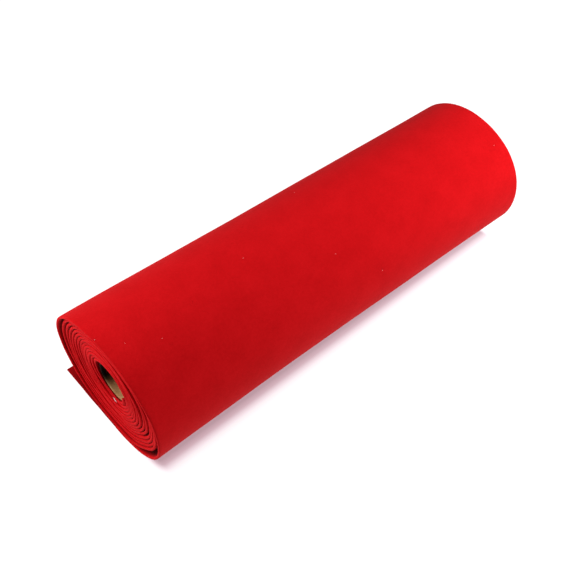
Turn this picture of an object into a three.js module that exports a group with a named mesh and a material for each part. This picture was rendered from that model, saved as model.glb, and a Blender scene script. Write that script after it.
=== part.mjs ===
// A roll of felt lying on its side. One web of thick felt is wound a little over fourteen turns on
// a cardboard tube. It is looser at one end, its outermost turn stands off the rest at the front and
// the back, and its free end runs out flat underneath.

import * as THREE from 'three';

// Driving dimensions in millimetres. X runs along the roll, -Y is its front and +Z is up.
const WEB_WIDTH = 450;
const FELT_THICK = 2.9;
const CORE_BORE = 36;
const CORE_WALL = 1.5;
const CORE_LENGTH = 443;
const CORE_GAP = 0.3;

// The tube's axis, from the middle of the outline and from the floor.
const CORE_Y = 1.0;
const CORE_Z = 68.3;

// Outline of the outermost turn at the loose end and at the tight end.
const SECTIONS = {
  loose: { halfWidth: 75.9, height: 133.0 },
  tight: { halfWidth: 69.8, height: 132.2 },
};
// How far the front is drawn in at mid length, and how much the roll is flattened where it rests.
const FRONT_WAIST = 2.9;
const FLAT_SPOT_DEPTH = 0.4;

// The free end: how far back it reaches, and where the wound felt comes down on it.
const FREE_END_Y = 86.7;
const LANDING_LIFT = 0.35;

// How far the wound felt bulges out low on its front. Angles run from the floor, up the front, over the
// top and down the back.
const LOW_FRONT = { from: 4, widest: 50, to: 96, width: 2.1 };

// Where the outermost turn stands off the turns inside it. Widths are those at the loose end.
const STAND_OFFS = [
  { from: 16, widest: 50, to: 128, width: 5.4 },
  { from: 212, widest: 256, to: 322, width: 2.4 },
];
const TIGHT_END_SHARE = 0.5;

// How far the turns have slipped along the roll: just inside the outermost turn, and at the tube.
const SLIP_INSIDE = 1.5;
const SLIP_AT_CORE = 4;

// Steps of the mesh.
const LENGTH_STEPS = 8;
const TURN_STEP = 4;
const BORE_SIDES = 40;
const STAND_OFF_STEPS = 14;
const FIRST_ANGLE = 4;
const LAST_ANGLE = 352;

const { lerp, degToRad } = THREE.MathUtils;
const SEAT_RADIUS = CORE_BORE / 2 + CORE_WALL + CORE_GAP;

// The part's reference point is on the floor, under the middle of its box.
const BOX_MID_X = SLIP_AT_CORE / 2;
const BOX_MID_Y = (FREE_END_Y - SECTIONS.loose.halfWidth) / 2;

// Half width of the outermost turn at the front or the back. The place runs from 0 at the loose end
// to 1 at the tight one.
function halfWidth(place, side) {
  const straight = lerp(SECTIONS.loose.halfWidth, SECTIONS.tight.halfWidth, place);
  return side === 'front' ? straight - FRONT_WAIST * 4 * place * (1 - place) : straight;
}

// Reach of the wound outline from the tube's axis on its four sides, before the spiral draws in.
function reaches(place) {
  const height = lerp(SECTIONS.loose.height, SECTIONS.tight.height, place);
  return [
    CORE_Z + FLAT_SPOT_DEPTH,
    halfWidth(place, 'front') + CORE_Y + FELT_THICK * 0.25,
    height - CORE_Z + FELT_THICK * 0.5,
    halfWidth(place, 'back') - CORE_Y + FELT_THICK * 0.75,
  ];
}

// Height of a bulge at an angle. It rises smoothly from one of its ends and falls to the other.
function bulge(angle, { from, widest, to, width }) {
  const nearness = angle < widest ? (angle - from) / (widest - from) : (to - angle) / (to - widest);
  return width * Math.sin(THREE.MathUtils.clamp(nearness, 0, 1) * Math.PI * 0.5) ** 2;
}

// Radius of the outermost turn's outer face: quarter ellipses between the four reaches, less what the
// spiral has drawn in by that angle.
function skinRadius(place, angle) {
  const reach = reaches(place);
  const quarter = Math.min(3, Math.floor(angle / 90));
  const within = degToRad(angle - quarter * 90);
  const along = Math.cos(within) / reach[quarter];
  const across = Math.sin(within) / reach[(quarter + 1) % 4];
  const spiral = (FELT_THICK + FLAT_SPOT_DEPTH) * (angle / 360);
  const landing = LANDING_LIFT * THREE.MathUtils.smoothstep(angle, 270, 360);
  return 1 / Math.hypot(along, across) + bulge(angle, LOW_FRONT) - spiral - landing;
}

// A point of the section, at a radius from the tube's axis and never below the floor.
function sectionPoint(radius, angle, slip) {
  const y = CORE_Y - radius * Math.sin(degToRad(angle));
  const z = CORE_Z - radius * Math.cos(degToRad(angle));
  return { y, z: Math.max(0, z), slip };
}

// The outermost turn's outer face, closed along the free end's underside and top.
function outerLoop(place) {
  const points = [{ y: FREE_END_Y, z: 0, slip: 0 }];
  for (let angle = FIRST_ANGLE; angle <= LAST_ANGLE; angle += TURN_STEP) {
    points.push(sectionPoint(skinRadius(place, angle), angle, 0));
  }
  const landed = points[points.length - 1];
  points.push({ y: landed.y, z: FELT_THICK, slip: 0 });
  points.push({ y: FREE_END_Y, z: FELT_THICK, slip: 0 });
  return points;
}

// The hollow that the tube sits in.
function boreLoop() {
  const points = [];
  for (let side = 0; side < BORE_SIDES; side += 1) {
    points.push(sectionPoint(SEAT_RADIUS, (side * 360) / BORE_SIDES, SLIP_AT_CORE));
  }
  return points;
}

// The crescent between the outermost turn and the turns inside it.
function standOffLoop(place, standOff) {
  const outside = [];
  const inside = [];
  for (let step = 0; step <= STAND_OFF_STEPS; step += 1) {
    const angle = lerp(standOff.from, standOff.to, step / STAND_OFF_STEPS);
    const gap = bulge(angle, standOff) * lerp(1, TIGHT_END_SHARE, place);
    const radius = skinRadius(place, angle) - FELT_THICK;
    outside.push(sectionPoint(radius, angle, 0));
    if (step > 0 && step < STAND_OFF_STEPS) {
      inside.unshift(sectionPoint(radius - gap, angle, SLIP_INSIDE));
    }
  }
  return [...outside, ...inside];
}

// All the loops of the felt's section at one place along the roll, the outline first.
function feltLoops(place) {
  return [outerLoop(place), boreLoop(), ...STAND_OFFS.map((standOff) => standOffLoop(place, standOff))];
}

// A closed mesh through the loops of several sections, with a flat or dished face at each end.
function loft(sections) {
  const positions = [];
  const faces = [];
  const loopStarts = [];
  for (const { x, loops } of sections) {
    const starts = [];
    for (const loop of loops) {
      starts.push(positions.length / 3);
      for (const point of loop) {
        positions.push(x + point.slip, point.y, point.z);
      }
    }
    loopStarts.push(starts);
  }
  for (let section = 0; section < sections.length - 1; section += 1) {
    sections[section].loops.forEach((loop, index) => {
      const here = loopStarts[section][index];
      const next = loopStarts[section + 1][index];
      const inward = THREE.ShapeUtils.isClockWise(flat(loop)) === (index > 0);
      for (let i = 0; i < loop.length; i += 1) {
        const j = (i + 1) % loop.length;
        const [near, far] = inward ? [j, i] : [i, j];
        faces.push(here + near, next + near, next + far);
        faces.push(here + near, next + far, here + far);
      }
    });
  }
  [0, sections.length - 1].forEach((section) => {
    const atStart = section === 0;
    for (const face of capFaces(sections[section].loops)) {
      const corners = face.map((corner) => corner + loopStarts[section][0]);
      faces.push(...(atStart ? corners.reverse() : corners));
    }
  });
  const geometry = new THREE.BufferGeometry();
  geometry.setAttribute('position', new THREE.Float32BufferAttribute(positions, 3));
  geometry.setIndex(faces);
  geometry.computeVertexNormals();
  return geometry;
}

function flat(loop) {
  return loop.map(({ y, z }) => new THREE.Vector2(y, z));
}

// Triangles across a section, numbered through its loops in order and facing +X.
function capFaces(loops) {
  const [outline, ...holes] = loops.map(flat);
  const points = [outline, ...holes].flat();
  return THREE.ShapeUtils.triangulateShape(outline, holes).map(([a, b, c]) => {
    const turn = new THREE.Vector2().subVectors(points[b], points[a])
      .cross(new THREE.Vector2().subVectors(points[c], points[a]));
    return turn > 0 ? [a, b, c] : [a, c, b];
  });
}

function feltRoll() {
  const sections = [];
  for (let step = 0; step <= LENGTH_STEPS; step += 1) {
    const place = step / LENGTH_STEPS;
    sections.push({ x: (place - 0.5) * WEB_WIDTH, loops: feltLoops(place) });
  }
  const material = new THREE.MeshStandardMaterial({ color: '#d2161d', roughness: 0.95, metalness: 0 });
  const mesh = new THREE.Mesh(loft(sections), material);
  mesh.name = 'felt_roll';
  return mesh;
}

function coreTube() {
  const ring = new THREE.Shape().absarc(0, 0, CORE_BORE / 2 + CORE_WALL, 0, Math.PI * 2);
  ring.holes.push(new THREE.Path().absarc(0, 0, CORE_BORE / 2, 0, Math.PI * 2));
  const geometry = new THREE.ExtrudeGeometry(ring, {
    depth: CORE_LENGTH,
    curveSegments: BORE_SIDES,
    bevelEnabled: false,
  });
  const material = new THREE.MeshStandardMaterial({ color: '#8a6a48', roughness: 0.9, metalness: 0 });
  const mesh = new THREE.Mesh(geometry, material);
  mesh.name = 'core_tube';
  mesh.rotation.set(0, Math.PI / 2, 0);
  mesh.position.set(WEB_WIDTH / 2 - CORE_LENGTH, CORE_Y, CORE_Z);
  return mesh;
}

const roll = new THREE.Group();
roll.add(feltRoll(), coreTube());
roll.position.set(-BOX_MID_X, -BOX_MID_Y, 0);

const part = new THREE.Group();
part.add(roll);

export default part;
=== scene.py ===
import math

import bmesh
import bpy
import numpy as np
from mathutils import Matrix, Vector


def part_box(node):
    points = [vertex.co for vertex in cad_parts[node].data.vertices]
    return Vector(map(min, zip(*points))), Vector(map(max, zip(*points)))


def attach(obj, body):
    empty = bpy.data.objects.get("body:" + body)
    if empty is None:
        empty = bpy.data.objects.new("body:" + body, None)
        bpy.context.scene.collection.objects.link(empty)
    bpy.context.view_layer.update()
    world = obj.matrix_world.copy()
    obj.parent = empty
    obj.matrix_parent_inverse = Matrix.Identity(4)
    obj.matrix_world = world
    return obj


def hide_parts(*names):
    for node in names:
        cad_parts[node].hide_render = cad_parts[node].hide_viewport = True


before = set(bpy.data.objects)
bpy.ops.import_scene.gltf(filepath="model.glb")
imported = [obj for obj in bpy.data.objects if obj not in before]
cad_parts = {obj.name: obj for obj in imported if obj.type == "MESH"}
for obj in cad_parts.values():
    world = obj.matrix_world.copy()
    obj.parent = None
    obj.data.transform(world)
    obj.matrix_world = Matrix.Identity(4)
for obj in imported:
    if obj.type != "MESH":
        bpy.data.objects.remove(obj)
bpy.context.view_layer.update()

# A roll of thick red felt on a cardboard tube, lying on its side. Lengths are in millimetres until a mesh
# is made. X runs along the roll from its loose end to its tight one, -Y is its front and +Z is up.
MM = 0.001

# The web of felt and the tube
WEB_WIDTH = 450.0
FELT_THICK = 2.9
TURNS = 14.25
CORE_BORE = 36.0
CORE_WALL = 1.5
CORE_GAP = 0.3
SEAT_RADIUS = CORE_BORE / 2 + CORE_WALL + CORE_GAP

# Places taken from the frame: the outermost turn's loose edge, the tube and the free end
FELT_LOW, FELT_HIGH = (np.array(corner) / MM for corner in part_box("felt_roll"))
TUBE_LOW, TUBE_HIGH = (np.array(corner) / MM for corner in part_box("core_tube"))
NEAR_X = FELT_LOW[0]
FREE_END_Y = FELT_HIGH[1]
CORE_Y, CORE_Z = (TUBE_LOW[1:] + TUBE_HIGH[1:]) / 2

# Outline of the outermost turn: half widths, heights, how it is drawn in, and how it lands on the free end
AXIS_OFF_MIDDLE = 1.0
HALF_WIDTH = {"loose": 75.9, "tight": 69.8}
HEIGHT = {"loose": 133.0, "tight": 132.2}
FRONT_WAIST = 2.9
FLAT_SPOT_DEPTH = 0.4
LANDING_LIFT = 0.35
LANDING_ANGLES = (270, 360)
LANDING_SOFTNESS = 0.2

# How far the wound felt bulges out low on its front. Angles run from the floor, up the front, over the top
# and down the back.
LOW_FRONT = {"start": 4, "widest": 50, "end": 96, "width": 2.1}

# Where the outermost turn stands off the rest, with widths at the loose end
STAND_OFFS = (
    {"start": 16, "widest": 50, "end": 128, "width": 5.4},
    {"start": 212, "widest": 256, "end": 322, "width": 2.4},
)
TIGHT_END_SHARE = 0.5
GAP_AT_START = 0.75
GAP_AFTER_START = 0.28
GAP_START_ANGLE = 30

# Where the rest of the slack gathers, and how much of it lies under each turn there, from the second turn
# inward, beside a share of 1 at the floor and at the top
SLACK_AT = {
    "front": {"start": 0, "widest": 62, "end": 180, "width": 1},
    "back": {"start": 180, "widest": 240, "end": 360, "width": 1},
}
SLACK = (
    {"front": 0.7, "back": 2.6},
    {"front": 0.9, "back": 2.3},
    {"front": 0.9, "back": 1.9},
    {"front": 2.6, "back": 1.5},
    {"front": 1.2, "back": 1.0},
    {"front": 1.2, "back": 0.6},
    {"front": 0.9, "back": 0.4},
    {"front": 0.9, "back": 0.4},
    {"front": 0.6, "back": 0.3},
    {"front": 0.5, "back": 0.4},
    {"front": 0.4, "back": 0.5},
    {"front": 0.3, "back": 1.4},
    {"front": 0.4, "back": 1.9},
    {"front": 0.9, "back": 1.2},
)

# How far the turns inside the outermost one have slipped along the roll, over how many turns, and waves
# that make it uneven from turn to turn and the turns over which they set in
SLIP_START = 0.8
SLIP_AT_CORE = 4.0
SLIP_TURNS = 1.5
SLIP_WAVES = (
    {"height": 0.26, "rate": 7.3, "phase": 0.6},
    {"height": 0.20, "rate": 2.9, "phase": 1.7},
    {"height": 0.10, "rate": 23.0, "phase": 0.0},
)
UNEVEN_TURNS = (0.7, 1.6)

# How far the outer turns are skewed along the roll: the felt lies toward its loose end at the back, and the
# other way at the front, and the turns deeper than the last of these lie square
SKEW = 1.5
SKEW_ANGLE = 265
SKEWED_TURNS = (4, 8)

# Steps of the felt's mesh. The free end has finer steps at its tip, and its last one stays clear of the
# first turn. The columns across the web are a distance from its edge and a share of the full thickness.
STEPS_PER_TURN = 84
FREE_END_TIP = (0.0, 0.4, 1.1, 2.6)
FREE_END_STEP = 4.0
FREE_END_LAST_GAP = 1.0
EDGE_COLUMNS = ((0.0, 0.60), (0.3, 0.83), (0.9, 0.96), (2.2, 1.0), (6.0, 1.0), (16.0, 1.0), (38.0, 1.0))
MIDDLE_COLUMNS = (70.0, 108.0, 147.0, 186.0, 225.0)
EDGE_BULGE = 0.3

# How thin the web is at its two cut ends, beside its full thickness, and how far in from them that goes
END_THICKNESS = 0.55
END_ROUNDING_LENGTH = 1.6

# How much the felt rounds off where it is pressed between turns, beside an edge that is free, and the gaps
# between which that changes
PRESSED_ROUNDING = 0.06
ROUNDING_GAPS = (0.4, 1.2)
FREE_GAP = 9.0

# Painted shade on the felt: its colour between its turns, beside the colour in the open, how far in from a
# cut edge it darkens, over which turns its outer face goes under, and how much of that painted shade lies on
# the free end's top beside a cut edge and far from one
PAINTED_SHADE_NAME = "painted_shade_share"
FELT_PAINTED_SHADE = 0.25
PAINTED_SHADE_DEPTHS = (0.3, 3.6)
PAINTED_SHADE_FROM_TURNS = (0.95, 1.0)
FREE_END_PAINTED_SHADE = (0.75, 0.25)
FREE_END_SHADE_DEPTHS = (5.0, 95.0)

# Wander of the cut edges along the web, as (height, reach, share of the edge's phase), and each edge's phase
EDGE_WAVES = ((0.20, 31.0, 1.0), (0.12, 11.0, 2.1), (0.06, 4.3, 3.3))
NEAR_EDGE_PHASE = 0.4
FAR_EDGE_PHASE = 2.2

# Swells of the outermost turn, as (height, reach along the roll, rate over a turn, phase), the turns over
# which they rise and fall, and what they leave free above the turn beneath
SWELL_WAVES = ((0.20, 61.0, 7.0, 0.0), (0.14, 37.0, -11.0, 1.3), (0.08, 17.0, 19.0, 0.5))
SWELL_RISES = (0.06, 0.16)
SWELL_FALLS = (0.86, 1.0)
SWELL_CLEARANCE = 0.08

# How much deeper the innermost turns lie at one side, and the turns over which that grows
SAG = 1.9
SAG_ANGLE = 330
SAG_TURNS = (11, 14)

# How far the innermost turn leans in past the tube's end, where it does so, and how far from its edge
LEAN = 1.9
LEAN_ANGLE = 15
LEAN_TURNS = (13.3, 13.8)
LEAN_REACH = 1.6

# Loose fibres: the radius at each point from root to tip, how far each bends, and how deep it is rooted
FIBRE_SEED = 7
FIBRE_SIDES = 3
FIBRE_RADII = (0.055, 0.045, 0.03, 0.01)
FIBRE_BEND = 0.45
FIBRE_ROOT_DEPTH = 0.12
FIBRES = {
    "cut_edges": {"count": 1500, "length": (0.7, 1.8), "rise": 0.9},
    "skin": {"count": 900, "length": (2.0, 5.0), "rise": 0.16},
}

# Pale lint: each fleck's place on the outermost turn, its length and width, and its heading from the
# roll's length. Its ends are as wide as a share of its middle.
FLECKS = (
    {"x": -226, "angle": 179, "length": 1.3, "width": 0.2, "heading": 40},
    {"x": -209, "angle": 164, "length": 1.0, "width": 0.25, "heading": 100},
    {"x": -182, "angle": 152.5, "length": 1.2, "width": 0.2, "heading": 160},
    {"x": -80, "angle": 173, "length": 1.5, "width": 0.3, "heading": 20},
    {"x": 12, "angle": 209, "length": 1.2, "width": 0.3, "heading": 75},
    {"x": -6, "angle": 137, "length": 1.1, "width": 0.28, "heading": 120},
    {"x": 34, "angle": 104, "length": 1.4, "width": 0.25, "heading": 10},
    {"x": 211, "angle": 142, "length": 1.3, "width": 0.3, "heading": 55},
)
FLECK_STEPS = 5
FLECK_SIDES = 6
FLECK_END_SHARE = 0.3

# The longest fleck lies on the innermost turn's cut edge, over these counts of turns
EDGE_FLECK_TURNS = (12.985, 13.02)
EDGE_FLECK_WIDTH = 1.3

# A direction that no strand follows, to turn its sides from
OFF_STRANDS = (0.31, 0.17, 0.94)

# The tube: its strip of paper, the steps of its mesh, and the radius and inset of each ring round its end
TUBE_STRIP = 58.0
TUBE_SIDES = 96
TUBE_FINE_STEP = 1.6
TUBE_FINE_LENGTH = 72.0
TUBE_COARSE_STEP = 12.0
PLY_RINGS = ((18.0, 0.10), (18.25, 0.0), (18.6, 0.07), (18.95, 0.0), (19.25, 0.06), (19.5, 0.16))
TUBE_END_WAVES = (
    {"height": 0.05, "rate": 9.0, "phase": 1.0},
    {"height": 0.04, "rate": 23.0, "phase": 0.0},
)

# The joint between the strip's turns: its groove, which fades beyond the finely stepped ends and is
# turned and shallower outside, and the shares of the strip between which its dark line grows
JOINT_WIDTH = 2.4
JOINT_DEPTH = 0.28
JOINT_FADE = (0.8, 1.0)
OUTER_JOINT_TURNED = 1.9
OUTER_JOINT_SHARE = 0.6
JOINT_LINE = (0.484, 0.5)

# Painted shade: the bore's walls darken toward its back and from its ends inward
BORE_PAINTED_SHADE = 0.02
BORE_PAINTED_SHADE_SIDE = 264
BORE_PAINTED_SHADE_SIDES = (0.66, 0.93)
BORE_PAINTED_SHADE_DEPTHS = (4.0, 60.0)
BORE_PAINTED_SHADE_DEPTH_SHARE = 0.30

# Colours of the felt, the kraft paper and the lint over their mottling, as (position, colour) pairs
FELT_COLOURS = (
    (0.38, (0.435, 0.0020, 0.0035)),
    (0.50, (0.495, 0.0028, 0.0048)),
    (0.62, (0.550, 0.0042, 0.0068)),
)
KRAFT_COLOURS = (
    (0.18, (0.130, 0.062, 0.024)),
    (0.42, (0.340, 0.180, 0.076)),
    (0.58, (0.460, 0.260, 0.118)),
)
LINT_COLOURS = (
    (0.35, (0.62, 0.36, 0.38)),
    (0.65, (0.86, 0.68, 0.68)),
)

# Headings of the felt's strands, how fine their noise is along and across each, and the share of its
# heading that each is turned by about each axis
FELT_STRANDS = (
    {"heading": 0.5, "scale": (260, 2400, 2400)},
    {"heading": -0.7, "scale": (300, 2200, 2200)},
    {"heading": 1.45, "scale": (240, 2300, 2300)},
)
STRAND_TILT = (0.4, 0.3, 1.0)

# How fine the noise of the paper's grain is along and across the tube
PAPER_GRAIN = (500, 1500, 1500)

# The stage: a floor that glows white, with a painted shadow beside the roll, and soft lights
FLOOR_COLOUR = (0.18, 0.18, 0.19)
# The floor's glow at shares of a reach from the roll: a narrow painted mauve shadow beside it, and white
# beyond
FLOOR_GLOWS = (
    (0.05, (0.40, 0.26, 0.30)),
    (0.26, (0.54, 0.37, 0.42)),
    (0.40, (0.72, 0.58, 0.63)),
    (0.55, (0.86, 0.78, 0.81)),
    (0.72, (0.93, 0.90, 0.915)),
    (0.95, (0.95, 0.95, 0.955)),
)
# How far that painted shadow reaches, where it starts in from the roll's ends and sides, how much faster it
# fades off the ends, and how it narrows along the roll
FLOOR_SHADE_REACH = 25.0
FLOOR_SHADE_INSET = (13.0, 31.0)
FLOOR_SHADE_END_SCALE = 2.2
FLOOR_SHADE_SLANT = 1.0
FLOOR_SIZE = 6000.0
FLOOR_DROP = 0.1

LIGHTS = (
    {"name": "far_top", "place": (630, 0, 1420), "aim": (0, 0, 60), "size": 900, "power": 10.3},
    {"name": "overhead", "place": (-150, 150, 900), "aim": (-150, 0, 100), "size": 300, "power": 0.9},
    {"name": "far_front", "place": (510, -400, 410), "aim": (180, -60, 60), "size": 300, "power": 5.2},
    {"name": "loose_end_back", "place": (-500, 350, 450), "aim": (-200, 0, 80), "size": 300, "power": 3.35},
    {"name": "loose_end_low", "place": (-750, 220, 70), "aim": (-225, 0, 70), "size": 260, "power": 1.55},
)

# Camera, fitted to the outline in the photograph's 576 px frame
IMAGE_SIZE = 576
FOCAL_PIXELS = 903.0
SENSOR_WIDTH = 36.0
LOOK_AT = (-35.9, -20.0, 67.0)
CAMERA_AZIMUTH = -40.4
CAMERA_ELEVATION = 48.99
CAMERA_DISTANCE = 843.7
CAMERA_CLIP_START = 10.0


def smoothstep(low, high, value):
    share = np.clip((value - low) / (high - low), 0, 1)
    return share * share * (3 - 2 * share)


def waves(value, rows):
    """Sum of sine waves of a value."""
    return sum(row["height"] * np.sin(value * row["rate"] + row["phase"]) for row in rows)


def set_values(piece, name, values):
    """A number at each point of a mesh, for its material to read."""
    piece.data.attributes.new(name, "FLOAT", "POINT").data.foreach_set("value", np.ravel(values))


def add_piece(name, points, faces, material):
    """A smooth mesh object from points in millimetres, its faces turned outward."""
    mesh = bpy.data.meshes.new(name)
    mesh.from_pydata((np.asarray(points) * MM).tolist(), [], faces)
    shape = bmesh.new()
    shape.from_mesh(mesh)
    bmesh.ops.recalc_face_normals(shape, faces=shape.faces)
    shape.to_mesh(mesh)
    shape.free()
    mesh.polygons.foreach_set("use_smooth", [True] * len(mesh.polygons))
    mesh.materials.append(material)
    piece = bpy.data.objects.new(name, mesh)
    bpy.context.scene.collection.objects.link(piece)
    return piece


# Materials

class Nodes:
    """Short ways to add and join the nodes of one material."""

    def __init__(self, name):
        self.material = bpy.data.materials.new(name)
        self.material.use_nodes = True
        self.tree = self.material.node_tree
        self.shader = self.tree.nodes["Principled BSDF"]

    def add(self, kind, inputs, **settings):
        node = self.tree.nodes.new(kind)
        for key, value in settings.items():
            setattr(node, key, value)
        self.feed(node, inputs)
        return node

    def feed(self, node, inputs):
        """Sockets or constants for a node's inputs."""
        for key, value in inputs.items():
            self.put(node.inputs[key], value)

    def put(self, socket, value):
        if isinstance(value, bpy.types.NodeSocket):
            self.tree.links.new(value, socket)
        else:
            socket.default_value = value

    def place(self):
        return self.add("ShaderNodeTexCoord", {}).outputs["Object"]

    def number(self, operation, *values):
        """The result of one step on numbers."""
        return self.add("ShaderNodeMath", dict(enumerate(values)), operation=operation).outputs[0]

    def vector(self, operation, *values):
        """The result of one step on vectors."""
        node = self.add("ShaderNodeVectorMath", dict(enumerate(values)), operation=operation)
        return node.outputs["Value" if operation == "LENGTH" else "Vector"]

    def sum(self, *terms):
        """Weighted sum of (socket, weight) pairs."""
        total = 0.0
        for socket, weight in terms:
            total = self.number("MULTIPLY_ADD", socket, weight, total)
        return total

    def noise(self, place, size, detail=3.0, roughness=0.55):
        """Noise with features of a size in millimetres."""
        inputs = {"Vector": place, "Scale": 1 / (size * MM), "Detail": detail, "Roughness": roughness}
        return self.add("ShaderNodeTexNoise", inputs).outputs["Fac"]

    def grain(self, place, scale, detail, distortion):
        """Noise drawn out along one direction."""
        stretched = self.add("ShaderNodeMapping", {"Vector": place, "Scale": scale}).outputs["Vector"]
        inputs = {"Vector": stretched, "Scale": 1.0, "Detail": detail, "Distortion": distortion}
        return self.add("ShaderNodeTexNoise", inputs).outputs["Fac"]

    def colours(self, fac, stops):
        """Colours spread over a value, as (position, colour) pairs."""
        ramp = self.add("ShaderNodeValToRGB", {"Fac": fac})
        points = ramp.color_ramp.elements
        while len(points) < len(stops):
            points.new(1.0)
        for point, (position, colour) in zip(points, stops):
            point.position = position
            point.color = (*colour, 1.0)
        return ramp.outputs["Color"]

    def paint_shade(self, colour, darkest):
        """The base colour with painted shade: darker where the mesh says that it lies out of the light."""
        painted_shade = self.add("ShaderNodeAttribute", {}, attribute_name=PAINTED_SHADE_NAME).outputs["Fac"]
        light = self.add("ShaderNodeMapRange", {"Value": painted_shade, "To Min": 1.0, "To Max": darkest})
        inputs = {0: colour, "Scale": light.outputs["Result"]}
        shaded = self.add("ShaderNodeVectorMath", inputs, operation="SCALE")
        self.feed(self.shader, {"Base Color": shaded.outputs["Vector"]})

    def bump(self, height, depth, strength):
        inputs = {"Height": height, "Distance": depth * MM, "Strength": strength}
        self.feed(self.shader, {"Normal": self.add("ShaderNodeBump", inputs).outputs["Normal"]})


def felt_material():
    """Matted short fibres: faint clouds of colour, a fine nap and strands that cross each other."""
    nodes = Nodes("red_felt")
    place = nodes.place()
    clouds = nodes.noise(place, size=22, detail=2.0)
    mottle = nodes.noise(place, size=2.4, detail=4.0, roughness=0.65)
    nap = nodes.noise(place, size=0.55, roughness=0.7)
    strands = []
    for row in FELT_STRANDS:
        rotation = [row["heading"] * tilt for tilt in STRAND_TILT]
        turned = nodes.add("ShaderNodeMapping", {"Vector": place, "Rotation": rotation})
        strands.append(nodes.grain(turned.outputs["Vector"], row["scale"], detail=2.0, distortion=0.9))
    fibres = nodes.sum(*((strand, 1 / len(strands)) for strand in strands))
    shade = nodes.sum((clouds, 0.22), (mottle, 0.30), (nap, 0.22), (fibres, 0.26))
    # Painted shade: the felt darkens between its turns and on the free end's top, where the mesh marks it
    nodes.paint_shade(nodes.colours(shade, FELT_COLOURS), FELT_PAINTED_SHADE)
    nodes.feed(nodes.shader, {
        "Roughness": 0.96,
        "Specular IOR Level": 0.05,
        "Sheen Weight": 0.03,
        "Sheen Roughness": 0.45,
        "Sheen Tint": (1.0, 0.36, 0.40, 1.0),
    })
    nodes.bump(nodes.sum((mottle, 0.45), (nap, 0.30), (fibres, 0.35)), depth=0.5, strength=0.45)
    return nodes.material


def tube_material():
    """Kraft paper wound in a strip on the slant, with a darker butt joint between its turns, and painted
    shade in its bore.
    """
    nodes = Nodes("kraft_tube")
    place = nodes.place()
    centred = nodes.add("ShaderNodeMapping", {"Vector": place, "Location": (0, -CORE_Y * MM, -CORE_Z * MM)})
    parts = nodes.add("ShaderNodeSeparateXYZ", {"Vector": centred.outputs["Vector"]}).outputs
    turn = nodes.number("ARCTAN2", parts["Y"], parts["Z"])
    along = nodes.sum((parts["X"], 1 / (TUBE_STRIP * MM)), (turn, 1 / math.tau))
    off_middle = nodes.number("ABSOLUTE", nodes.number("SUBTRACT", nodes.number("FRACT", along), 0.5))
    line = {"Value": off_middle, "From Min": JOINT_LINE[0], "From Max": JOINT_LINE[1], "To Max": 1.0}
    joint = nodes.add("ShaderNodeMapRange", line).outputs["Result"]
    pulp = nodes.noise(place, size=3.5, detail=5.0, roughness=0.65)
    grain = nodes.grain(place, PAPER_GRAIN, detail=3.0, distortion=0.6)
    shade = nodes.sum((pulp, 0.55), (grain, 0.45), (joint, -0.30))
    # Painted shade: the bore darker toward its back and from its ends inward
    nodes.paint_shade(nodes.colours(shade, KRAFT_COLOURS), BORE_PAINTED_SHADE)
    nodes.feed(nodes.shader, {"Roughness": 0.78, "Specular IOR Level": 0.04})
    nodes.bump(nodes.sum((pulp, 0.5), (grain, 0.4), (joint, -1.0)), depth=0.25, strength=0.5)
    return nodes.material


def lint_material():
    """Pale stray fibre, a little uneven."""
    nodes = Nodes("pale_lint")
    cloud = nodes.noise(nodes.place(), size=0.8)
    nodes.feed(nodes.shader, {"Base Color": nodes.colours(cloud, LINT_COLOURS), "Roughness": 0.8})
    nodes.bump(cloud, depth=0.1, strength=0.4)
    return nodes.material


def floor_material():
    """White paper under strong light that also glows, with a painted shadow by distance from a box under the
    roll.
    """
    nodes = Nodes("white_floor")
    place = nodes.place()
    along = nodes.add("ShaderNodeSeparateXYZ", {"Vector": place}).outputs["X"]
    shaded = ((FELT_HIGH[0] - FLOOR_SHADE_INSET[0]) * MM, (FREE_END_Y - FLOOR_SHADE_INSET[1]) * MM, 1.0)
    beside = nodes.vector("SUBTRACT", nodes.vector("ABSOLUTE", place), shaded)
    beyond = nodes.vector("MAXIMUM", beside, (0.0, 0.0, 0.0))
    away = nodes.vector("LENGTH", nodes.vector("MULTIPLY", beyond, (FLOOR_SHADE_END_SCALE, 1.0, 1.0)))
    away = nodes.sum((away, 1 / (FLOOR_SHADE_REACH * MM)), (along, FLOOR_SHADE_SLANT))
    # The floor's glow, with a painted shadow near the roll
    nodes.feed(nodes.shader, {
        "Base Color": (*FLOOR_COLOUR, 1.0),
        "Roughness": 0.9,
        "Specular IOR Level": 0.1,
        "Emission Color": nodes.colours(away, FLOOR_GLOWS),
        "Emission Strength": 1.0,
    })
    return nodes.material


# The winding. A turn count runs inward along the web from where the outermost turn leaves the floor.

def reaches(place):
    """Reach of the wound outline from the tube's axis at the floor, front, top and back."""
    straight = HALF_WIDTH["loose"] + (HALF_WIDTH["tight"] - HALF_WIDTH["loose"]) * place
    height = HEIGHT["loose"] + (HEIGHT["tight"] - HEIGHT["loose"]) * place
    front = straight - FRONT_WAIST * 4 * place * (1 - place)
    # Each reach adds what the spiral has drawn in by there
    return np.array((
        CORE_Z + FLAT_SPOT_DEPTH,
        front + AXIS_OFF_MIDDLE + FELT_THICK * 0.25,
        height - CORE_Z + FELT_THICK * 0.5,
        straight - AXIS_OFF_MIDDLE + FELT_THICK * 0.75,
    ))


def bulge(angle, row):
    """Height of a bulge that rises smoothly from one of its ends and falls to the other."""
    rising = (angle - row["start"]) / (row["widest"] - row["start"])
    falling = (row["end"] - angle) / (row["end"] - row["widest"])
    nearness = np.clip(np.minimum(rising, falling), 0, 1)
    return row["width"] * np.sin(nearness * math.pi / 2) ** 2


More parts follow.
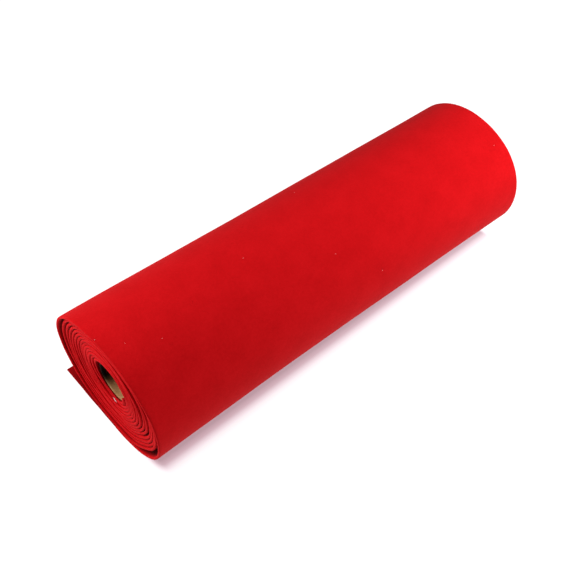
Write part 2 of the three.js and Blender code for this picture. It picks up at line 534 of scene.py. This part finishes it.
def skin_radius(place, angle):
    """Radius of the outermost turn's outer face at angles from 0 to 360."""
    reach = reaches(place)
    quarter = np.minimum(3, angle // 90).astype(int)
    within = np.radians(angle - quarter * 90)
    along = np.cos(within) / reach[quarter]
    across = np.sin(within) / reach[(quarter + 1) % 4]
    spiral = (FELT_THICK + FLAT_SPOT_DEPTH) * angle / 360
    landing = LANDING_LIFT * smoothstep(*LANDING_ANGLES, angle)
    return 1 / np.hypot(along, across) + bulge(angle, LOW_FRONT) - spiral - landing


def stand_off(place, angle):
    """Gap under the outermost turn."""
    gap = GAP_AT_START + (GAP_AFTER_START - GAP_AT_START) * smoothstep(0, GAP_START_ANGLE, angle)
    for row in STAND_OFFS:
        gap = gap + bulge(angle, row) * (1 + (TIGHT_END_SHARE - 1) * place)
    return gap


def slack_share(turn):
    """Relative gap under the felt at counts of turns from 1 inward. It closes at the web's inner end."""
    angle = (turn % 1) * 360
    row = np.clip(turn.astype(int) - 1, 0, len(SLACK) - 1)
    share = np.ones_like(turn)
    for side, place in SLACK_AT.items():
        most = np.array([slack[side] for slack in SLACK])[row]
        share = share + (most - 1) * bulge(angle, place)
    return share * np.clip((TURNS - turn) / (TURNS % 1), 0, 1)


def inner_radius(place, turn):
    """Radius of the felt's inner face at counts of turns from 0 inward."""
    angle = (turn % 1) * 360
    under_skin = skin_radius(place, angle) - FELT_THICK
    layers = np.arange(1, math.ceil(TURNS))[:, None]
    shares = slack_share(turn % 1 + layers)
    deeper = (shares * (layers >= np.floor(turn))).sum(0) / shares.sum(0)
    slack = under_skin - stand_off(place, angle) - SEAT_RADIUS - FELT_THICK * (TURNS - turn % 1)
    wound = SEAT_RADIUS + FELT_THICK * (TURNS - turn) + slack * deeper
    return np.where(turn < 1, under_skin, wound)


def above(height, z):
    """Heights kept above a surface, with a soft bend where they meet it."""
    return height + (z - height + np.hypot(z - height, LANDING_SOFTNESS)) / 2


def around_axis(radius, turned):
    """(y, z) at a radius from the tube's axis and an angle from the floor, up the front."""
    return CORE_Y - radius * np.sin(turned), CORE_Z - radius * np.cos(turned)


def web_samples():
    """Distance from the free end at each sample of the flat part, and the turn count at each of the rest."""
    flat_length = FREE_END_Y - CORE_Y
    even = np.arange(FREE_END_TIP[-1] + FREE_END_STEP, flat_length - FREE_END_LAST_GAP, FREE_END_STEP)
    flat = np.append(FREE_END_TIP, even)
    turns = np.arange(round(TURNS * STEPS_PER_TURN) + 1) / STEPS_PER_TURN
    return flat, turns


def web_section(place):
    """(y, z) of the web's outer and inner faces along its whole length, at one place along the roll."""
    flat, turns = web_samples()
    lying = FREE_END_Y - flat
    radius = inner_radius(place, turns)
    turned = turns * math.tau
    faces = []
    for thick in (FELT_THICK, 0.0):
        level = FELT_THICK - thick
        y, z = around_axis(radius + thick, turned)
        # The outermost turn's first half starts flat on the floor
        z = np.where(turns < 0.5, above(level, z), z)
        wound = np.stack([y, z], -1)
        faces.append(np.concatenate([np.stack([lying, np.full_like(lying, level)], -1), wound]))
    return faces


def gaps_beside(place):
    """Gap outside and inside the web at each sample of its whole length."""
    flat, turns = web_samples()
    radius = inner_radius(place, turns)
    outside = inner_radius(place, np.maximum(turns - 1, 0)) - FELT_THICK - radius
    inside = radius - FELT_THICK - inner_radius(place, np.minimum(turns + 1, TURNS))
    free = np.full_like(flat, FREE_GAP)
    outside = np.where(turns < 1, FREE_GAP, outside)
    inside = np.where(turns > TURNS - 1, CORE_GAP, inside)
    return np.concatenate([free, outside]), np.concatenate([free, inside])


def edge_share(share, gap):
    """Share of the thickness near a cut edge. The felt keeps more of it where it is pressed between turns."""
    return 1 - (1 - share) * (PRESSED_ROUNDING + (1 - PRESSED_ROUNDING) * smoothstep(*ROUNDING_GAPS, gap))


def painted_shade_shares(count, from_edge):
    """Painted shade on the web's outer face and its inner one at each sample of its length: how far each lies
    out of the light.
    """
    flat, _ = web_samples()
    deep = smoothstep(*PAINTED_SHADE_DEPTHS, from_edge)
    # Painted shadow on the free end's top, darkest beside a cut edge
    beside, far = FREE_END_PAINTED_SHADE
    free_end = beside + (far - beside) * smoothstep(*FREE_END_SHADE_DEPTHS, from_edge)
    outer = smoothstep(*PAINTED_SHADE_FROM_TURNS, count) * deep
    inner = np.where(np.arange(len(count)) < len(flat), free_end, deep)
    return outer, inner


def slip(turns):
    """How far each sample has slipped along the roll, a little unevenly from turn to turn."""
    slipped = SLIP_AT_CORE * (1 - np.exp(-np.maximum(turns - SLIP_START, 0) / SLIP_TURNS))
    return slipped + waves(turns, SLIP_WAVES) * smoothstep(*UNEVEN_TURNS, turns)


def sag(turns):
    """How much deeper along the roll the innermost turns lie at one side."""
    side = (1 + np.cos(turns * math.tau - math.radians(SAG_ANGLE))) / 2
    return SAG * side * smoothstep(*SAG_TURNS, turns)


def lean(turns, from_edge):
    """How far the innermost turn leans toward the tube's axis beside its cut edge."""
    side = (1 + np.cos(turns * math.tau - math.radians(LEAN_ANGLE))) / 2
    return LEAN * side * smoothstep(*LEAN_TURNS, turns) * (1 - smoothstep(0, LEAN_REACH, from_edge))


def skew(turns):
    """Shift along the roll that each sample owes to the skewed winding of the outer turns."""
    fading = 1 - smoothstep(*SKEWED_TURNS, turns)
    return -SKEW * np.cos(turns * math.tau - math.radians(SKEW_ANGLE)) * fading


def edge_wander(length, phase):
    """Small wander of a cut edge along the web."""
    return sum(height * np.sin(length / reach + share * phase) for height, reach, share in EDGE_WAVES)


def swell(x, turns):
    """Slow, shallow swells of the outermost turn, none where it lies on the floor."""
    free = smoothstep(*SWELL_RISES, turns) * (1 - smoothstep(*SWELL_FALLS, turns))
    return free * sum(
        height * np.sin(x / reach + turns * rate + phase) for height, reach, rate, phase in SWELL_WAVES
    )


def web_columns():
    """Distance from the near edge and share of the full thickness at each column across the web."""
    half = [*EDGE_COLUMNS, *((distance, 1.0) for distance in MIDDLE_COLUMNS)]
    return half + [(WEB_WIDTH - distance, share) for distance, share in reversed(half[:-1])]


def web_rings():
    """Points around the web's own section at each sample of its length, the painted shade at each of them as
    how far it lies out of the light, and the length at each sample."""
    flat, turns = web_samples()
    count = np.concatenate([np.zeros_like(flat), turns])
    outer, inner = web_section(0.5)
    steps = np.diff((outer + inner) / 2, axis=0)
    length = np.concatenate([[0], np.cumsum(np.hypot(*steps.T))])
    ends = np.minimum(length, length[-1] - length)
    rounding = END_THICKNESS + (1 - END_THICKNESS) * smoothstep(0, END_ROUNDING_LENGTH, ends)
    wander = edge_wander(length, NEAR_EDGE_PHASE)
    near_edge = NEAR_X + slip(count) + sag(count) + skew(count) + wander
    widening = edge_wander(length, FAR_EDGE_PHASE) - wander
    outside, inside, painted_shade_outside, painted_shade_inside = [], [], [], []
    for distance, share in web_columns():
        place = distance / WEB_WIDTH
        x = near_edge + distance + widening * place
        outer, inner = web_section(place)
        middle, half = (outer + inner) / 2, (outer - inner) / 2
        outward = half / np.hypot(*half.T)[:, None]
        from_edge = min(distance, WEB_WIDTH - distance)
        gaps = gaps_beside(place)
        swollen = np.maximum(swell(x, count), np.minimum(0, SWELL_CLEARANCE - gaps[1]))
        middle = middle + outward * (swollen - lean(count, from_edge))[:, None]
        outer_share, inner_share = (edge_share(share, gap) * rounding for gap in gaps)
        outside.append(np.column_stack([x, middle + half * outer_share[:, None]]))
        inside.append(np.column_stack([x, middle - half * inner_share[:, None]]))
        # Painted shade on the web's outer and inner faces
        painted_shade_outer, painted_shade_inner = painted_shade_shares(count, from_edge)
        painted_shade_outside.append(painted_shade_outer)
        painted_shade_inside.append(painted_shade_inner)
    rim_bulge = np.array([EDGE_BULGE, 0, 0])
    near_rim = (outside[0] + inside[0]) / 2 - rim_bulge
    far_rim = (outside[-1] + inside[-1]) / 2 + rim_bulge
    rings = np.stack([*outside, far_rim, *inside[::-1], near_rim], axis=1)
    rims = (painted_shade_outside[0] + painted_shade_inside[0]) / 2
    painted_shade = np.stack([*painted_shade_outside, rims, *painted_shade_inside[::-1], rims], axis=1)
    return rings, painted_shade, length


def ring_faces(samples, around):
    """Quads along a row of rings that are numbered in order."""
    start = np.arange(samples - 1)[:, None] * around
    here = start + np.arange(around)
    beside = start + (np.arange(around) + 1) % around
    return np.stack([here, here + around, beside + around, beside], -1).reshape(-1, 4).tolist()


def web_caps(samples, around):
    """Faces that close the web at its free end and at its inner one."""
    columns = around // 2 - 1
    faces = []
    for start in (0, (samples - 1) * around):
        for column in range(columns - 1):
            other = start + 2 * columns - column
            faces.append([start + column, start + column + 1, other - 1, other])
        faces.append([start + around - 1, start, start + 2 * columns])
        faces.append([start + columns - 1, start + columns, start + columns + 1])
    return faces


def felt_web(material):
    """The whole web as one closed sheet, the rings of its points, and its length."""
    rings, painted_shade, length = web_rings()
    samples, around, _ = rings.shape
    faces = ring_faces(samples, around) + web_caps(samples, around)
    web = add_piece("felt_web", rings.reshape(-1, 3), faces, material)
    # The painted shade, for the felt's material to darken it by
    set_values(web, PAINTED_SHADE_NAME, painted_shade)
    return web, rings, length[-1]


# Loose fibres and pale flecks on the felt

def strand(path, radii, sides):
    """Points and faces of a thin closed strand along a path, with a radius at each point of it."""
    along = np.gradient(path, axis=0)
    aside = np.cross(along, OFF_STRANDS)
    aside /= np.linalg.norm(aside, axis=1)[:, None]
    across = np.cross(along, aside)
    across /= np.linalg.norm(across, axis=1)[:, None]
    turn = (np.arange(sides) * math.tau / sides)[:, None, None]
    rings = path + np.asarray(radii)[:, None] * (np.cos(turn) * aside + np.sin(turn) * across)
    points = rings.transpose(1, 0, 2).reshape(-1, 3)
    ends = [list(range(sides)), list(range(len(points) - sides, len(points)))]
    return points, ring_faces(len(path), sides) + ends


def add_strands(name, strands, material):
    """One mesh of many strands."""
    points, faces, start = [], [], 0
    for strand_points, strand_faces in strands:
        points.append(strand_points)
        faces += [[start + corner for corner in face] for face in strand_faces]
        start += len(strand_points)
    return add_piece(name, np.concatenate(points), faces, material)


def fibre_roots(web, rings, where, count, rng):
    """Random places on the cut edges or on the outermost turn, and the felt's normal at each."""
    samples, around, _ = rings.shape
    quads = (samples - 1) * around
    polygons = web.data.polygons
    normals, areas = np.empty(len(polygons) * 3), np.empty(len(polygons))
    polygons.foreach_get("normal", normals)
    polygons.foreach_get("area", areas)
    columns = around // 2 - 1
    chosen = np.zeros((samples - 1, around))
    if where == "cut_edges":
        # The quads on both sides of each rim
        chosen[:, [columns - 1, columns, around - 2, around - 1]] = 1
    else:
        flat, _ = web_samples()
        chosen[len(flat):len(flat) + STEPS_PER_TURN, :columns - 1] = 1
    weights = areas[:quads] * chosen.ravel()
    picks = rng.choice(quads, size=count, p=weights / weights.sum())
    sample, column = np.divmod(picks, around)
    beside = (column + 1) % around
    u, v = rng.random((2, count, 1))
    low = rings[sample, column] * (1 - u) + rings[sample, beside] * u
    high = rings[sample + 1, column] * (1 - u) + rings[sample + 1, beside] * u
    return low * (1 - v) + high * v, normals.reshape(-1, 3)[picks]


def loose_fibres(web, rings, material):
    """Short fibres that stand up from the cut edges and lie on the outermost turn."""
    rng = np.random.default_rng(FIBRE_SEED)
    strands = []
    steps = np.linspace(0, 1, len(FIBRE_RADII))[:, None]
    for where, row in FIBRES.items():
        roots, normals = fibre_roots(web, rings, where, row["count"], rng)
        for root, normal in zip(roots, normals):
            heading = rng.normal(size=3)
            heading -= heading @ normal * normal
            heading = heading / np.linalg.norm(heading) + row["rise"] * normal
            bend = np.cross(heading, normal) * rng.uniform(-FIBRE_BEND, FIBRE_BEND)
            length = rng.uniform(*row["length"])
            path = root - FIBRE_ROOT_DEPTH * normal + length * (heading * steps + bend * steps ** 2)
            path[:, 2] = np.maximum(path[:, 2], 2 * FIBRE_RADII[0])
            strands.append(strand(path, FIBRE_RADII, FIBRE_SIDES))
    return add_strands("loose_fibres", strands, material)


def pale_flecks(material):
    """Pale lint on the outermost turn, and one longer fleck on the innermost turn's cut edge."""
    steps = np.linspace(-0.5, 0.5, FLECK_STEPS)
    plump = FLECK_END_SHARE + (1 - FLECK_END_SHARE) * np.cos(steps * math.pi)
    strands = []
    for row in FLECKS:
        heading = math.radians(row["heading"])
        x = row["x"] + steps * row["length"] * math.cos(heading)
        place = (row["x"] - NEAR_X) / WEB_WIDTH
        angle = np.full_like(x, row["angle"])
        angle += np.degrees(steps * row["length"] * math.sin(heading) / skin_radius(place, angle))
        radius = skin_radius(place, angle) + swell(x, angle / 360)
        path = np.column_stack([x, *around_axis(radius, np.radians(angle))])
        strands.append(strand(path, plump * row["width"] / 2, FLECK_SIDES))
    turns = EDGE_FLECK_TURNS[0] + (steps + 0.5) * (EDGE_FLECK_TURNS[1] - EDGE_FLECK_TURNS[0])
    x = NEAR_X + slip(turns) + sag(turns) - EDGE_BULGE
    radius = inner_radius(0.0, turns) + FELT_THICK * (0.5 + 0.5 * steps)
    path = np.column_stack([x, *around_axis(radius, turns * math.tau)])
    strands.append(strand(path, plump * EDGE_FLECK_WIDTH / 2, FLECK_SIDES))
    return add_strands("pale_flecks", strands, material)


# The tube

def tube_stations():
    """Places along the tube, closer together near its ends."""
    length = TUBE_HIGH[0] - TUBE_LOW[0]
    fine = np.arange(TUBE_FINE_STEP, TUBE_FINE_LENGTH, TUBE_FINE_STEP)
    coarse = np.arange(TUBE_FINE_LENGTH, length - TUBE_FINE_LENGTH, TUBE_COARSE_STEP)
    return np.concatenate([fine, coarse, (length - fine)[::-1]]) + TUBE_LOW[0]


def joint_depth(x, turn):
    """Depth of the joint between the strip's turns, which runs round the tube on the slant."""
    off = (x / TUBE_STRIP + turn / math.tau) % 1 - 0.5
    off = (0.5 - np.abs(off)) * TUBE_STRIP
    near_end = np.minimum(x - TUBE_LOW[0], TUBE_HIGH[0] - x) / TUBE_FINE_LENGTH
    groove = 1 - smoothstep(0, JOINT_WIDTH / 2, off)
    return JOINT_DEPTH * groove * (1 - smoothstep(*JOINT_FADE, near_end))


def bore_painted_shade(points):
    """Painted shade at each point of the tube: how far it lies out of the light."""
    x, y, z = np.asarray(points).T
    turned = np.arctan2(CORE_Y - y, CORE_Z - z)
    side = (1 + np.cos(turned - math.radians(BORE_PAINTED_SHADE_SIDE))) / 2
    from_end = np.minimum(x - TUBE_LOW[0], TUBE_HIGH[0] - x)
    deep = BORE_PAINTED_SHADE_DEPTH_SHARE * smoothstep(*BORE_PAINTED_SHADE_DEPTHS, from_end)
    return 1 - (1 - smoothstep(*BORE_PAINTED_SHADE_SIDES, side)) * (1 - deep)


def core_tube(material):
    """The tube: its bore from end to end, round the plies of its far end, back outside and round those of
    its near end."""
    turn = np.arange(TUBE_SIDES) * math.tau / TUBE_SIDES
    stations = tube_stations()
    inner, outer = PLY_RINGS[0][0], PLY_RINGS[-1][0]
    rough = waves(turn, TUBE_END_WAVES)
    rows = [(x, inner + joint_depth(x, turn)) for x in stations]
    rows += [(TUBE_HIGH[0] - inset - rough, np.full_like(turn, radius)) for radius, inset in PLY_RINGS]
    rows += [
        (x, outer - joint_depth(x, turn + OUTER_JOINT_TURNED) * OUTER_JOINT_SHARE) for x in stations[::-1]
    ]
    rows += [(TUBE_LOW[0] + inset + rough, np.full_like(turn, radius)) for radius, inset in PLY_RINGS[::-1]]
    rings = []
    for x, radius in rows:
        y = CORE_Y + radius * np.sin(turn)
        z = CORE_Z + radius * np.cos(turn)
        rings.append(np.column_stack([np.broadcast_to(x, turn.shape), y, z]))
    rings.append(rings[0])
    points = np.concatenate(rings[:-1])
    faces = np.array(ring_faces(len(rings), TUBE_SIDES)) % len(points)
    tube = add_piece("cardboard_tube", points, faces.tolist(), material)
    # The painted shade in the bore, for the paper's material to darken it by
    set_values(tube, PAINTED_SHADE_NAME, bore_painted_shade(points))
    return tube


# Stage

def add_floor():
    half = FLOOR_SIZE / 2
    corners = [(-half, -half), (half, -half), (half, half), (-half, half)]
    floor = add_piece("floor", [(x, y, -FLOOR_DROP) for x, y in corners], [(0, 1, 2, 3)], floor_material())


def add_lights():
    for row in LIGHTS:
        data = bpy.data.lights.new(row["name"], "AREA")
        data.size = row["size"] * MM
        data.energy = row["power"]
        light = bpy.data.objects.new(row["name"], data)
        light.location = Vector(row["place"]) * MM
        light.rotation_euler = (Vector(row["aim"]) - Vector(row["place"])).to_track_quat("-Z", "Y").to_euler()
        bpy.context.scene.collection.objects.link(light)


def add_backdrop():
    """A white surround beyond the floor, which lights nothing."""
    world = bpy.data.worlds.new("surround")
    bpy.context.scene.world = world
    world.use_nodes = True
    world.node_tree.nodes["Background"].inputs["Color"].default_value = (1.0, 1.0, 1.0, 1.0)
    for ray in ("diffuse", "glossy", "transmission", "scatter"):
        setattr(world.cycles_visibility, ray, False)


def add_camera():
    azimuth, elevation = math.radians(CAMERA_AZIMUTH), math.radians(CAMERA_ELEVATION)
    flat = math.cos(elevation)
    back = Vector((math.sin(azimuth) * flat, -math.cos(azimuth) * flat, math.sin(elevation)))
    data = bpy.data.cameras.new("camera")
    data.sensor_width = SENSOR_WIDTH
    data.lens = FOCAL_PIXELS / IMAGE_SIZE * SENSOR_WIDTH
    data.clip_start = CAMERA_CLIP_START * MM
    camera = bpy.data.objects.new("camera", data)
    camera.location = (Vector(LOOK_AT) + back * CAMERA_DISTANCE) * MM
    camera.rotation_euler = (-back).to_track_quat("-Z", "Y").to_euler()
    bpy.context.scene.collection.objects.link(camera)
    bpy.context.scene.camera = camera


add_camera()
add_floor()
add_lights()
add_backdrop()
bpy.context.scene.view_settings.view_transform = "Standard"

red_felt = felt_material()
web, rings, web_length = felt_web(red_felt)
fibres = loose_fibres(web, rings, red_felt)
flecks = pale_flecks(lint_material())
tube = core_tube(tube_material())

for piece, node, slot in ((web, "felt_roll", "felt"), (tube, "core_tube", "core")):
    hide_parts(node)
    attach(piece, "root")
for piece in (fibres, flecks):
    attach(piece, "root")
